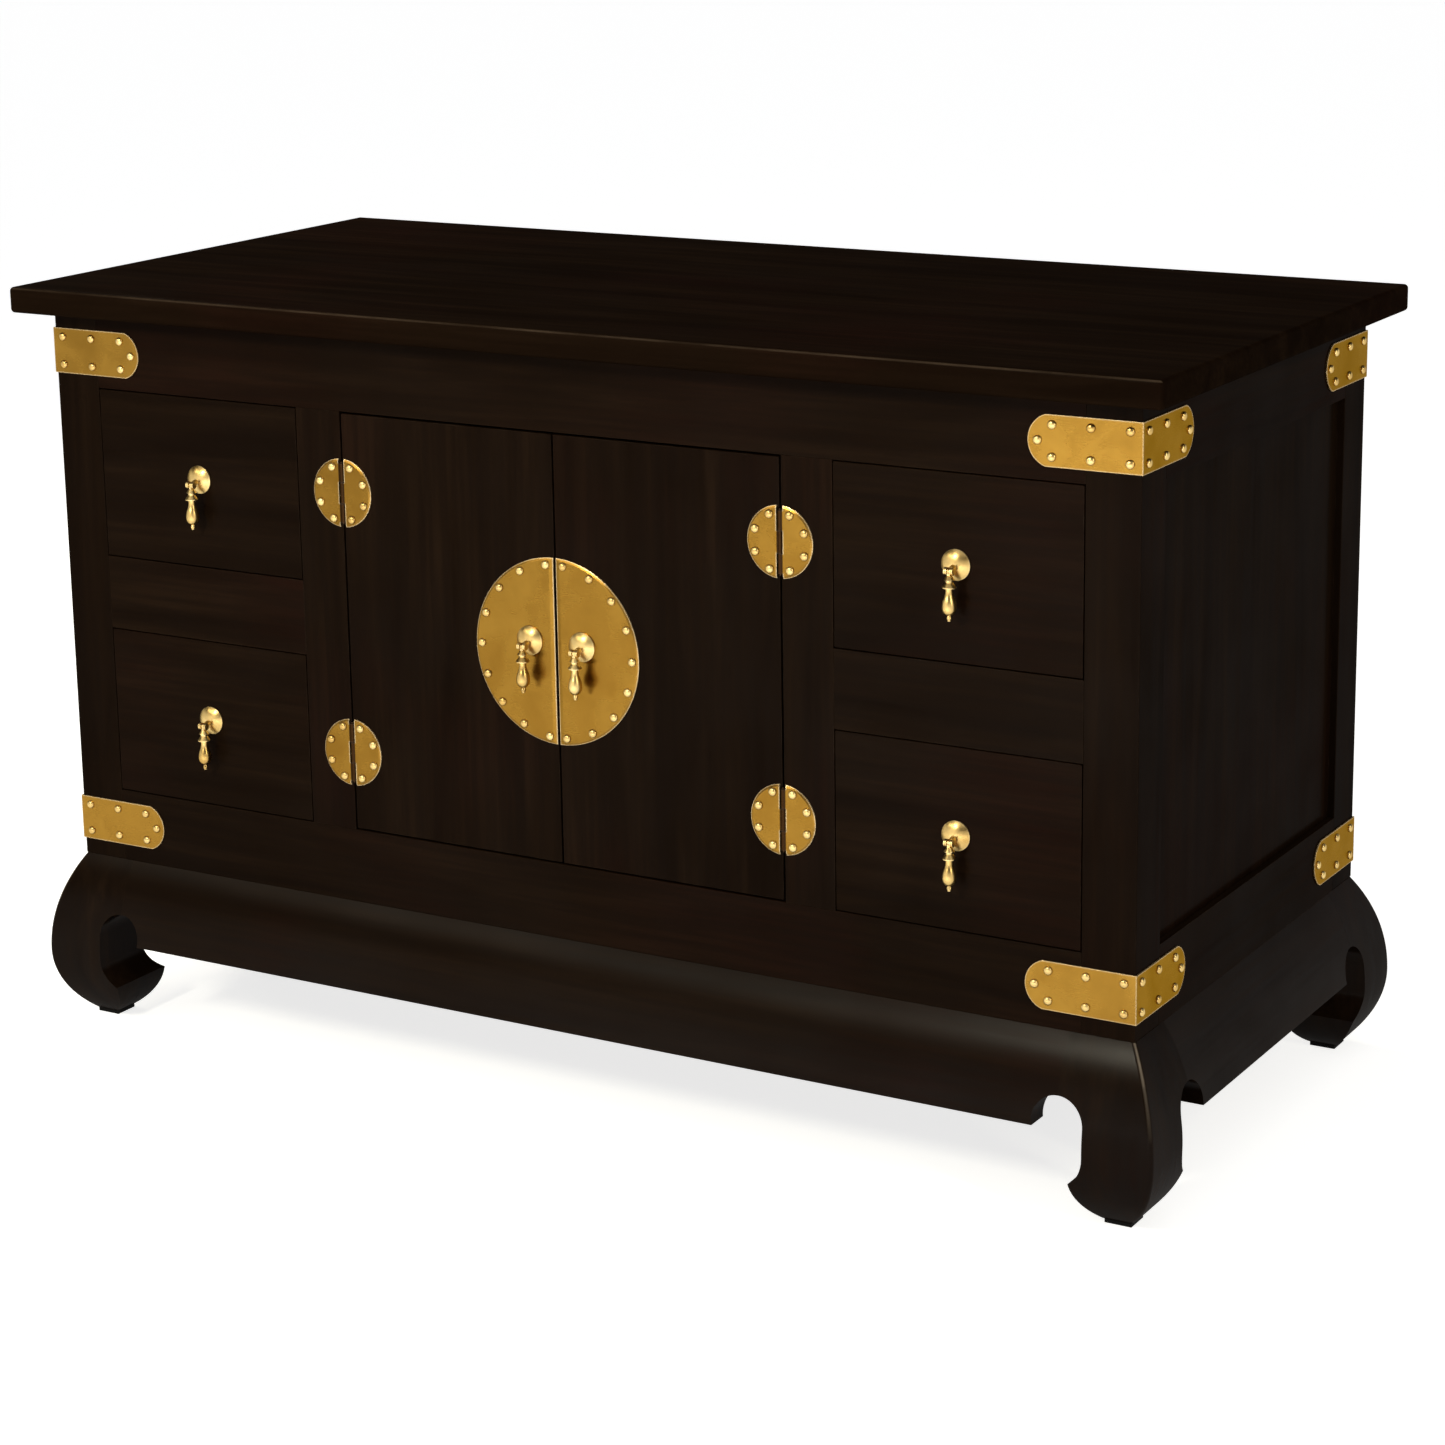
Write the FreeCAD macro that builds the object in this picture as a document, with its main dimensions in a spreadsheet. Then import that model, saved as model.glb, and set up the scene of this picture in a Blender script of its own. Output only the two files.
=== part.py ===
import FreeCAD, Part
import math
import os
import re

import Sketcher

# A low sideboard: a framed carcass on a bulging base with hoof feet, two doors on round split
# hinges, four drawers, and brass fittings with drop pulls. Millimetres, +Z up, front towards -Y,
# origin on the floor under the middle of the cabinet.

SIZES = {
    # Whole cabinet
    "top_width": 1200,
    "top_depth": 570,
    "overall_height": 740,
    "top_thickness": 25,
    "top_overhang": 30,
    "top_edge_radius": 4,
    "base_height": 168,
    # Carcass frame
    "post_width": 50,
    "stile_width": 50,
    "rail_height": 72,
    "frame_thickness": 22,
    "drawer_opening_width": 236,
    "panel_thickness": 10,
    "panel_setback": 7,
    "panel_tongue": 7,
    "board_thickness": 18,
    "shelf_setback": 20,
    "cleat_height": 20,
    # Base
    "bulge": 30,
    "bulge_drop": 98,
    "leg_joint_inset": 60,
    "notch_drop": 50,
    "notch_radius": 25,
    "ankle_length": 25,
    "toe_inset": 50,
    "toe_height": 40,
    "sole_inner_inset": 28,
    "sole_outer_inset": 1,
    "sole_height": 4,
    "sole_swell": 1,
    "arris_radius": 4,
    "pad_margin": 1,
    "apron_drop": 79,
    "apron_corner_inset": 82,
    "apron_top_thickness": 22,
    "apron_bottom_thickness": 18,
    # Doors and their hinges
    "door_gap": 2,
    "stop_gap": 0.3,
    "door_stop_width": 80,
    "door_stop_depth": 16,
    "door_stop_drop": 14,
    "door_stop_hold": 30,
    "plate_thickness": 2,
    "plate_bevel": 2.2,
    "plate_bevel_depth": 0.9,
    "medallion_radius": 87,
    "medallion_split": 3,
    "split_bevel": 4,
    "split_bevel_depth": 0.8,
    "hinge_inset": 76.5,
    "hinge_plate_radius": 32.5,
    "hinge_plate_gap": 3.2,
    "hinge_proud": 0.4,
    "hinge_length": 56,
    "middle_knuckle_length": 20,
    "knuckle_radius": 2.4,
    "knuckle_gap": 0.3,
    "knuckle_recess_gap": 0.6,
    "hinge_pin_radius": 1.25,
    "hinge_pin_end": 1.5,
    "pin_clearance": 0.05,
    # Corner brackets
    "bracket_leg": 102,
    "bracket_width": 44,
    "bracket_round": 16,
    "bracket_thickness": 1.5,
    "bracket_inset": 38,
    # Drawers
    "drawer_gap": 1,
    "drawer_front_thickness": 20,
    "drawer_rear_gap": 62,
    "drawer_side_gap": 2.5,
    "drawer_side_thickness": 12,
    "drawer_head_room": 20,
    "drawer_bottom_rise": 8,
    "drawer_bottom_thickness": 6,
    "drawer_groove": 5,
    "runner_width": 16,
    "runner_height": 10,
    "running_gap": 0.3,
    "stop_block_width": 60,
    "stop_block_depth": 12,
    "stop_block_height": 35,
    # Drop pulls
    "pull_rise": 3.5,
    "door_pull_inset": 28,
    "door_pull_rise": 8,
    "rosette_radius": 13.5,
    "rosette_rim": 1.2,
    "rosette_height": 6,
    "post_radius": 2.6,
    "pull_reach": 13,
    "pull_sag": 3,
    "head_radius": 3.3,
    "head_width": 8.4,
    "slot_width": 3.2,
    "slot_gap": 0.3,
    "eye_radius": 2.2,
    "eye_gap": 0.4,
    "pull_pin_radius": 0.8,
    "tang_depth": 3,
    "ring_top_radius": 2.4,
    "ring_radius": 4.8,
    "ring_top": 3.8,
    "ring_bottom": 7.4,
    "groove_radius": 3.2,
    "groove_top": 8,
    "groove_bottom": 9.6,
    "collar_radius": 6.1,
    "collar_rim": 13.4,
    "collar_bottom": 14.2,
    "neck_radius": 3.2,
    "neck_drop": 17,
    "bulb_radius": 6.2,
    "bulb_drop": 31.5,
    "finial_neck_radius": 1.6,
    "finial_neck_drop": 38.4,
    "finial_radius": 2.3,
    "finial_drop": 40.4,
    "finial_end_radius": 1.4,
    "pull_drop": 43,
    # How far a cutting shape runs past what it cuts
    "overrun": 2,
}

# Where along its fall a drop's hollow neck turns into its swelling bulb
NECK_SHARE = 0.4

# Places that several pieces share, worked out from the sizes
PLACES = {
    "half_width": "top_width / 2 - top_overhang",
    "half_depth": "top_depth / 2 - top_overhang",
    "carcass_top": "overall_height - top_thickness",
    "opening_bottom": "base_height + rail_height",
    "opening_top": "carcass_top - rail_height",
    "opening_middle": "(opening_bottom + opening_top) / 2",
    "rail_bottom": "opening_middle - rail_height / 2",
    "rail_top": "opening_middle + rail_height / 2",
    "bay_outer": "half_width - post_width",
    "bay_inner": "bay_outer - drawer_opening_width",
    "bay_middle": "(bay_outer + bay_inner) / 2",
    "partition_face": "bay_inner - board_thickness",
    "door_edge": "bay_inner - stile_width",
    "front_face": "-half_depth",
    "frame_back": "frame_thickness - half_depth",
    "frame_inside": "half_depth - frame_thickness",
    "panel_outer": "panel_setback",
    "panel_inner": "panel_setback + panel_thickness",
    "hinge_across": "door_edge - door_gap / 2",
    "hinge_level": "front_face - hinge_proud",
    "drawer_back": "frame_inside - drawer_rear_gap",
    "outer_knuckle_start": "middle_knuckle_length / 2 + knuckle_gap",
    "outer_knuckle_length": "hinge_length / 2 - outer_knuckle_start",
    "knuckle_bore": "hinge_pin_radius + pin_clearance",
    "bulb_turn_radius": f"neck_radius + (bulb_radius - neck_radius) * {NECK_SHARE}",
    "bulb_turn_drop": f"neck_drop + (bulb_drop - neck_drop) * {NECK_SHARE}",
    "eye_room": "eye_radius + eye_gap",
    "bracket_end_radius": "(bracket_width ^ 2 / 4 + bracket_round ^ 2) / (2 * bracket_round)",
    "bulge_height": "base_height - bulge_drop",
    "notch_top_height": "base_height - notch_drop",
    "apron_bottom_height": "base_height - apron_drop",
    "ankle_inset": "leg_joint_inset - notch_radius",
    "arch_height": "notch_top_height - notch_radius",
    "ankle_height": "arch_height - ankle_length",
}

SIDES = {"left": -1, "right": 1}
ENDS = {"front": -1, "back": 1}
QUARTER_TURN = 90
HALF_TURN = 180
FULL_TURN = 360
LEVELS = {"lower": ("opening_bottom", "rail_bottom"), "upper": ("rail_top", "opening_top")}
WORD = re.compile(r"[a-z][a-z_]*")
# Two places nearer than this are the same place
CLOSE = 0.001

doc = FreeCAD.newDocument("sideboard")
sheet = doc.addObject("Spreadsheet::Sheet", "Sizes")
for row, (alias, number) in enumerate(SIZES.items(), start=1):
    sheet.set(f"A{row}", alias)
    sheet.set(f"B{row}", str(number))
    sheet.setAlias(f"B{row}", alias)
doc.recompute()

parts = []


# Formulas tied to the sheet


def formula(text, owner="Sizes."):
    """The text with each place worked out and each size tied to its cell."""

    def tie(match):
        word = match.group()
        if word in PLACES:
            return "(" + formula(PLACES[word], owner) + ")"
        return owner + word if word in SIZES else word

    return WORD.sub(tie, text)


def value(text):
    return float(sheet.evalExpression(formula(text, "")))


def place(item, across="0", along="0", up="0"):
    for axis, text in zip("xyz", (across, along, up)):
        item.setExpression(f"Placement.Base.{axis}", formula(text))
    return item


def keep(name, item):
    """Marks an object as one of the cabinet's own pieces, which get a file each."""
    item.Label = name
    parts.append(item)
    return item


def span(sign, near, far):
    """The low and high end of a stretch from near to far, on one side of a middle plane."""
    return (near, far) if sign > 0 else (f"-({far})", f"-({near})")


def middle_span(size):
    return (f"-({size}) / 2", f"({size}) / 2")


# Shapes that the pieces are made from


def box(name, across, along, up):
    item = doc.addObject("Part::Box", name)
    for side, (low, high) in zip(("Length", "Width", "Height"), (across, along, up)):
        item.setExpression(side, formula(f"({high}) - ({low})"))
    return place(item, across[0], along[0], up[0])


def cylinder(name, radius, height, across="0", along="0", up="0"):
    item = doc.addObject("Part::Cylinder", name)
    item.setExpression("Radius", formula(radius))
    item.setExpression("Height", formula(height))
    return place(item, across, along, up)


def cross_cylinder(name, radius, length, along="0", up="0"):
    """A cylinder that lies across the cabinet, with its middle on the middle plane."""
    item = cylinder(name, radius, length, f"-({length}) / 2", along, up)
    item.Placement.Rotation = FreeCAD.Rotation(FreeCAD.Vector(0, 1, 0), QUARTER_TURN)
    return item


def group(name, members):
    item = doc.addObject("Part::Compound", name)
    item.Links = list(members)
    return item


def fuse(name, members):
    item = doc.addObject("Part::MultiFuse", name)
    item.Shapes = list(members)
    return item


def cut(name, base, *tools):
    item = doc.addObject("Part::Cut", name)
    item.Base = base
    item.Tool = tools[0] if len(tools) == 1 else group(f"{name}_tools", tools)
    return item


def copy(name, source, across="0", along="0", up="0", axis=(0, 0, 1), turn=0):
    """The source once more, turned about an axis and set at a place."""
    item = group(name, [source])
    item.Placement.Rotation = FreeCAD.Rotation(FreeCAD.Vector(*axis), turn)
    return place(item, across, along, up)


def faced(name, source, side, across, along, up):
    """A fitting made for the right side, turned round an upright plane for the left."""
    turn = 0 if SIDES[side] > 0 else HALF_TURN
    sign = SIDES[side]
    return copy(name, source, f"{sign} * ({across})", along, up, (0, 1, 0), turn)


def mirror(name, source, normal):
    item = doc.addObject("Part::Mirroring", name)
    item.Source = source
    item.Normal = FreeCAD.Vector(*normal)
    return item


def arc_between(start, end, kind, text):
    """An arc whose centre has a known height ("level") or a known place across ("plumb").
    Gives the arc, anticlockwise, and whether it runs from start to end."""
    known = value(text)
    (ax, ay), (bx, by) = start, end
    if kind == "level":
        spread = bx**2 - ax**2 + (by - known) ** 2 - (ay - known) ** 2
        cx, cy = spread / (2 * (bx - ax)), known
    else:
        spread = by**2 - ay**2 + (bx - known) ** 2 - (ax - known) ** 2
        cx, cy = known, spread / (2 * (by - ay))
    forward = (ax - cx) * (by - cy) > (ay - cy) * (bx - cx)
    first, last = (start, end) if forward else (end, start)
    angles = [math.atan2(y - cy, x - cx) for x, y in (first, last)]
    if angles[1] < angles[0]:
        angles[1] += 2 * math.pi
    radius = math.hypot(ax - cx, ay - cy)
    circle = Part.Circle(FreeCAD.Vector(cx, cy, 0), FreeCAD.Vector(0, 0, 1), radius)
    return Part.ArcOfCircle(circle, *angles), forward


def outline(body, role, corners):
    """A closed sketch through the corners. A corner is (x, y) at the end of a straight run, or
    (x, y, kind, place of the centre) at the end of an arc."""
    sketch = body.newObject("Sketcher::SketchObject", f"{body.Name}_outline")
    plane = next(feature for feature in body.Origin.OriginFeatures if feature.Role == role)
    sketch.AttachmentSupport = (plane, "")
    sketch.MapMode = "FlatFace"
    points = [(value(corner[0]), value(corner[1])) for corner in corners]
    ends = []
    for number, corner in enumerate(corners):
        start, end = points[number - 1], points[number]
        if len(corner) == 2:
            run = Part.LineSegment(FreeCAD.Vector(*start, 0), FreeCAD.Vector(*end, 0))
            forward = True
        else:
            run, forward = arc_between(start, end, *corner[2:])
        sketch.addGeometry(run)
        ends.append((1, 2) if forward else (2, 1))
    tie_corners(sketch, corners, points, ends)
    return sketch


def tie_corners(sketch, corners, points, ends):
    """Joins the runs of a sketch and ties each corner and each arc's centre to the sheet."""

    def tie(kind, run, position, text):
        distance = Sketcher.Constraint(kind, -1, 1, run, position, value(text))
        sketch.setExpression(f"Constraints[{sketch.addConstraint(distance)}]", formula(text))

    for number in range(len(corners)):
        before = (number - 1) % len(corners)
        joined = ("Coincident", before, ends[before][1], number, ends[number][0])
        sketch.addConstraint(Sketcher.Constraint(*joined))
    for number, corner in enumerate(corners):
        tie("DistanceX", number, ends[number][1], corner[0])
        tie("DistanceY", number, ends[number][1], corner[1])
        if len(corner) > 2:
            tie("DistanceY" if corner[2] == "level" else "DistanceX", number, 3, corner[3])


def padded(name, role, corners, length):
    body = doc.addObject("PartDesign::Body", name)
    pad = body.newObject("PartDesign::Pad", f"{name}_pad")
    pad.Profile = outline(body, role, corners)
    pad.setExpression("Length", formula(length))
    return body


def turned(name, role, corners):
    """A body turned about the upright axis of its sketch."""
    body = doc.addObject("PartDesign::Body", name)
    sketch = outline(body, role, corners)
    turn = body.newObject("PartDesign::Revolution", f"{name}_turn")
    turn.Profile = sketch
    turn.ReferenceAxis = (sketch, ["V_Axis"])
    turn.Angle = FULL_TURN
    return body


def edges_where(shape, test):
    """The names of a shape's edges that pass a test at their ends and their middle."""
    names = []
    for number, edge in enumerate(shape.Edges, start=1):
        middle = edge.valueAt((edge.FirstParameter + edge.LastParameter) / 2)
        if all(test(point) for point in [middle] + [vertex.Point for vertex in edge.Vertexes]):
            names.append(f"Edge{number}")
    return names


def softened(name, source, test, radius):
    """A copy of a solid with the arrises that pass a test rounded over."""
    body = doc.addObject("PartDesign::Body", name)
    body.BaseFeature = source
    doc.recompute()
    rounding = body.newObject("PartDesign::Fillet", f"{name}_rounding")
    rounding.Base = (body.Group[0], edges_where(source.Shape, test))
    rounding.setExpression("Radius", formula(radius))
    return body


def bevel(body, test, depth, width):
    """Slopes the edges of a flat plate that pass a test, by a depth of its thickness and a width."""
    doc.recompute()
    source = body.Tip
    slope = body.newObject("PartDesign::Chamfer", f"{source.Name}_bevel")
    slope.Base = (source, edges_where(source.Shape, test))
    slope.ChamferType = "Two distances"
    slope.setExpression("Size", formula(depth))
    slope.setExpression("Size2", formula(width))


def crossed(name, front_corners, front_length, side_corners, side_length):
    """A solid that shows one outline from the front and another from the right."""
    front = padded(f"{name}_front_form", "XZ_Plane", front_corners, front_length)
    side = padded(f"{name}_side_form", "YZ_Plane", side_corners, side_length)
    item = doc.addObject("Part::Common", name)
    item.Base = front
    item.Tool = side
    return item


# Top: a flat slab with softened arrises


def make_top():
    body = doc.addObject("PartDesign::Body", "slab")
    left, right = middle_span("top_width")
    front, back = middle_span("top_depth")
    corners = [(left, front), (right, front), (right, back), (left, back)]
    pad = body.newObject("PartDesign::Pad", "slab_pad")
    pad.Profile = outline(body, "XY_Plane", corners)
    pad.setExpression("Length", formula("top_thickness"))
    doc.recompute()
    edge = body.newObject("PartDesign::Fillet", "slab_edge")
    edge.Base = (pad, [""])
    edge.UseAllEdges = True
    edge.setExpression("Radius", formula("top_edge_radius"))
    place(body, up="carcass_top")
    keep("top_panel", body)


# Carcass: posts, rails and stiles round grooved-in panels


def make_panels():
    panels = {}
    tall = ("opening_bottom - panel_tongue", "opening_top + panel_tongue")
    for side, sign in SIDES.items():
        across = span(sign, "half_width - panel_inner", "half_width - panel_outer")
        along = middle_span("2 * (half_depth - post_width + panel_tongue)")
        panels[side] = keep(f"{side}_side_panel", box(f"{side}_panel", across, along, tall))
    across = middle_span("2 * (bay_outer + panel_tongue)")
    along = ("half_depth - panel_inner", "half_depth - panel_outer")
    panels["back"] = keep("back_panel", box("rear_panel", across, along, tall))
    return panels


def make_posts(panels):
    for end, along_sign in ENDS.items():
        for side, across_sign in SIDES.items():
            across = span(across_sign, "bay_outer", "half_width")
            along = span(along_sign, "half_depth - post_width", "half_depth")
            blank = box(f"{end}_{side}_blank", across, along, ("base_height", "carcass_top"))
            grooves = [panels[side]] + ([panels["back"]] if end == "back" else [])
            keep(f"{end}_{side}_post", cut(f"{end}_{side}_grooved", blank, *grooves))


def make_rails(panels):
    heights = {"bottom": ("base_height", "opening_bottom"), "top": ("opening_top", "carcass_top")}
    front = ("front_face", "frame_back")
    back = ("frame_inside", "half_depth")
    wide = ("-bay_outer", "bay_outer")
    deep = middle_span("2 * (half_depth - post_width)")
    side_rails, back_rails = [], []
    for level, up in heights.items():
        keep(f"front_{level}_rail", box(f"front_{level}", wide, front, up))
        blank = box(f"back_{level}_blank", wide, back, up)
        back_rails.append(cut(f"back_{level}_rail", blank, panels["back"]))
        for side, sign in SIDES.items():
            across = span(sign, "half_width - frame_thickness", "half_width")
            blank = box(f"{side}_{level}_blank", across, deep, up)
            side_rails.append(cut(f"{side}_{level}_rail", blank, panels[side]))
    keep("side_rails", group("side_rail_set", side_rails))
    keep("back_rails", group("back_rail_set", back_rails))


def make_front_dividers(recesses):
    stiles, drawer_rails = [], []
    front = ("front_face", "frame_back")
    for side, sign in SIDES.items():
        across = span(sign, "door_edge", "bay_inner")
        blank = box(f"{side}_stile_blank", across, front, ("opening_bottom", "opening_top"))
        stiles.append(cut(f"{side}_stile", blank, *recesses[side]))
        across = span(sign, "bay_inner", "bay_outer")
        drawer_rails.append(box(f"{side}_drawer_rail", across, front, ("rail_bottom", "rail_top")))
    keep("front_stiles", group("stile_set", stiles))
    keep("drawer_rails", group("drawer_rail_set", drawer_rails))


# Inside: floor, partitions, dust boards, shelf, runners and stops


def make_inside():
    along = ("frame_back", "frame_inside")
    floor = ("opening_bottom - board_thickness", "opening_bottom")
    keep("floor_board", box("floor", ("-bay_outer", "bay_outer"), along, floor))
    partitions, dust_boards, cleats = [], [], []
    shelf_along = ("frame_back + shelf_setback", "frame_inside")
    shelf_up = ("opening_middle - board_thickness / 2", "opening_middle + board_thickness / 2")
    dust_up = ("rail_top - board_thickness", "rail_top")
    cleat_up = (f"{shelf_up[0]} - cleat_height", shelf_up[0])
    for side, sign in SIDES.items():
        across = span(sign, "partition_face", "bay_inner")
        partitions.append(box(f"{side}_partition", across, along, ("opening_bottom", "carcass_top")))
        across = span(sign, "bay_inner", "bay_outer")
        dust_boards.append(box(f"{side}_dust_board", across, along, dust_up))
        across = span(sign, "partition_face - board_thickness", "partition_face")
        cleats.append(box(f"{side}_cleat", across, shelf_along, cleat_up))
    keep("partitions", group("partition_set", partitions))
    keep("dust_boards", group("dust_board_set", dust_boards))
    keep("shelf_cleats", group("cleat_set", cleats))
    keep("shelf", box("shelf_board", ("-partition_face", "partition_face"), shelf_along, shelf_up))
    across = middle_span("door_stop_width")
    along = ("frame_back", "frame_back + door_stop_depth")
    up = ("opening_top - door_stop_drop", "opening_top + door_stop_hold")
    keep("door_stop", box("door_stop_block", across, along, up))


def make_runners():
    """Strips that the drawers slide on, and blocks that stop them flush with the frame."""
    runners, stops = [], []
    along = ("frame_back", "frame_inside")
    stop_along = ("drawer_back + stop_gap", "drawer_back + stop_gap + stop_block_depth")
    for side, sign in SIDES.items():
        edges = {
            "inner": ("bay_inner + drawer_side_gap", "bay_inner + drawer_side_gap + runner_width"),
            "outer": ("bay_outer - drawer_side_gap - runner_width", "bay_outer - drawer_side_gap"),
        }
        for level, (low, high) in LEVELS.items():
            for edge, (near, far) in edges.items():
                up = (low, f"{low} + runner_height")
                across = span(sign, near, far)
                runners.append(box(f"{level}_{side}_{edge}_runner", across, along, up))
            near, far = "bay_middle - stop_block_width / 2", "bay_middle + stop_block_width / 2"
            across = span(sign, near, far)
            up = (low, f"{low} + stop_block_height")
            stops.append(box(f"{level}_{side}_stop", across, stop_along, up))
    keep("drawer_runners", group("runner_set", runners))
    keep("drawer_stops", group("stop_set", stops))


# Base: hoof legs with bulging shoulders, and aprons that carry the same bulge between them


def leg_corners(out):
    """The leg's outline seen square on. out gives a place that far in from the carcass corner."""
    return [
        (out("0"), "base_height"),
        (out("-bulge"), "bulge_height", "level", "bulge_height"),
        (out("sole_outer_inset"), "sole_height", "level", "bulge_height"),
        (out("sole_inner_inset"), "sole_height"),
        (out("toe_inset"), "toe_height", "plumb", out("sole_outer_inset + sole_swell")),
        (out("ankle_inset"), "ankle_height", "level", "ankle_height"),
        (out("ankle_inset"), "arch_height"),
        (out("leg_joint_inset"), "notch_top_height", "level", "arch_height"),
        (out("leg_joint_inset"), "base_height"),
    ]


def apron_front_corners(half_length):
    """An apron's outline seen square on: straight below, arched up to the legs at both ends."""

    def out(inset, sign):
        return f"{sign} * ({half_length} - ({inset}))"

    right, left = out("leg_joint_inset", 1), out("leg_joint_inset", -1)
    return [
        (right, "notch_top_height"),
        (out("apron_corner_inset", 1), "apron_bottom_height", "plumb", right),
        (out("apron_corner_inset", -1), "apron_bottom_height"),
        (left, "notch_top_height", "plumb", left),
        (left, "base_height"),
        (right, "base_height"),
    ]


def apron_section_corners(out):
    """An apron cut across: the leg's bulge outside and a leaning flat face inside."""
    return [
        (out("0"), "base_height"),
        (out("-bulge"), "bulge_height", "level", "bulge_height"),
        (out("apron_bottom_thickness - bulge"), "bulge_height"),
        (out("apron_top_thickness"), "base_height"),
    ]


def from_right(inset):
    return f"half_width - ({inset})"


def from_front(inset):
    return f"({inset}) - half_depth"


def on_outer_arris(point):
    """Whether a point of the front right leg is as far out to the front as it is to the right."""
    right = point.x - value("half_width")
    front = -point.y - value("half_depth")
    return abs(right - front) < CLOSE and right > -value("sole_outer_inset") - CLOSE


def make_legs():
    front_form, side_form = leg_corners(from_right), leg_corners(from_front)
    blank = crossed("leg_blank", front_form, "half_depth + bulge", side_form, "half_width + bulge")
    leg = keep("front_right_leg", softened("leg", blank, on_outer_arris, "arris_radius"))
    keep("front_left_leg", mirror("left_leg", leg, (1, 0, 0)))
    back_leg = keep("back_right_leg", mirror("rear_leg", leg, (0, 1, 0)))
    keep("back_left_leg", mirror("rear_left_leg", back_leg, (1, 0, 0)))


def make_aprons():
    length, section = apron_front_corners("half_width"), apron_section_corners(from_front)
    front = crossed("apron", length, "half_depth + bulge", section, "2 * half_width")
    place(front.Tool, "-half_width")
    keep("front_apron", front)
    keep("back_apron", mirror("rear_apron", front, (0, 1, 0)))
    length, section = apron_front_corners("half_depth"), apron_section_corners(from_right)
    side = crossed("end_apron", section, "2 * half_depth", length, "half_width + bulge")
    place(side.Base, along="half_depth")
    keep("side_aprons", group("end_apron_set", [side, mirror("left_end_apron", side, (1, 0, 0))]))


def make_pads():
    def sole_span(sign, half):
        near = f"{half} - sole_inner_inset + pad_margin"
        return span(sign, near, f"{half} - sole_outer_inset - pad_margin")

    pads = []
    for end, along_sign in ENDS.items():
        for side, across_sign in SIDES.items():
            across, along = sole_span(across_sign, "half_width"), sole_span(along_sign, "half_depth")
            pads.append(box(f"{end}_{side}_pad", across, along, ("0", "sole_height")))
    keep("foot_pads", group("pad_set", pads))


# Corner brackets: a strap folded round each corner, with rounded ends


def strap_corners(sign):
    """One leg of a bracket laid flat. Its fold is at zero and it runs off towards the sign."""
    fold = f"{-sign} * bracket_thickness"
    shoulder = f"{sign} * (bracket_leg - bracket_round)"
    centre = f"{sign} * (bracket_leg - bracket_end_radius)"
    low, high = middle_span("bracket_width")
    return [(fold, low), (shoulder, low), (shoulder, high, "plumb", centre), (fold, high)]


def make_brackets():
    front = padded("front_strap", "XZ_Plane", strap_corners(-1), "bracket_thickness")
    side = padded("side_strap", "YZ_Plane", strap_corners(1), "bracket_thickness")
    bracket = fuse("bracket", [front, side])
    corners = [(1, -1), (1, 1), (-1, 1), (-1, -1)]
    heights = {"lower": "base_height + bracket_inset", "upper": "carcass_top - bracket_inset"}
    brackets = []
    for level, up in heights.items():
        for number, (across, along) in enumerate(corners):
            name = f"{level}_bracket_{number}"
            turn = number * QUARTER_TURN
            spot = (f"{across} * half_width", f"{along} * half_depth", up)
            brackets.append(copy(name, bracket, *spot, turn=turn))
    keep("corner_brackets", group("bracket_set", brackets))


# Hinges: round plates split by the pin, with three knuckles


HINGE_HEIGHTS = {
    "lower": "opening_bottom + hinge_inset",
    "upper": "opening_top - hinge_inset",
}


def on_front(point):
    """Whether a point is on the front of a plate that lies with its back on the middle plane."""
    return point.y < CLOSE - value("plate_thickness")


def half_disc(name, radius, gap):
    """A flat plate that fills the right part of a disc, from a straight edge beside the middle to a
    bevelled rim."""

    def on_rim(point):
        return on_front(point) and abs(math.hypot(point.x, point.z) - value(radius)) < CLOSE

    reach = f"sqrt({radius} ^ 2 - ({gap}) ^ 2)"
    corners = [(gap, f"-{reach}"), (gap, reach, "plumb", "0")]
    body = padded(name, "XZ_Plane", corners, "plate_thickness")
    bevel(body, on_rim, "plate_bevel_depth", "plate_bevel")
    return body


def knuckle(name, sign, low, high):
    """A barrel on the pin's axis with the tab that ties it to its plate."""
    across = span(sign, "0", "hinge_plate_gap + plate_thickness")
    along = ("hinge_proud - plate_thickness", "hinge_proud")
    tab = box(f"{name}_tab", across, along, (low, high))
    return [tab, cylinder(f"{name}_barrel", "knuckle_radius", f"({high}) - ({low})", up=low)]


def make_hinge_recesses():
    """Round grooves that let the hinge barrels into the stile and the door beside it."""
    recesses = {}
    length = "hinge_length + 2 * overrun"
    for side, sign in SIDES.items():
        recesses[side] = [
            cylinder(
                f"{side}_{level}_recess",
                "knuckle_radius + knuckle_recess_gap",
                length,
                f"{sign} * hinge_across",
                "hinge_level",
                f"{up} - ({length}) / 2",
            )
            for level, up in HINGE_HEIGHTS.items()
        ]
    return recesses


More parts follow.
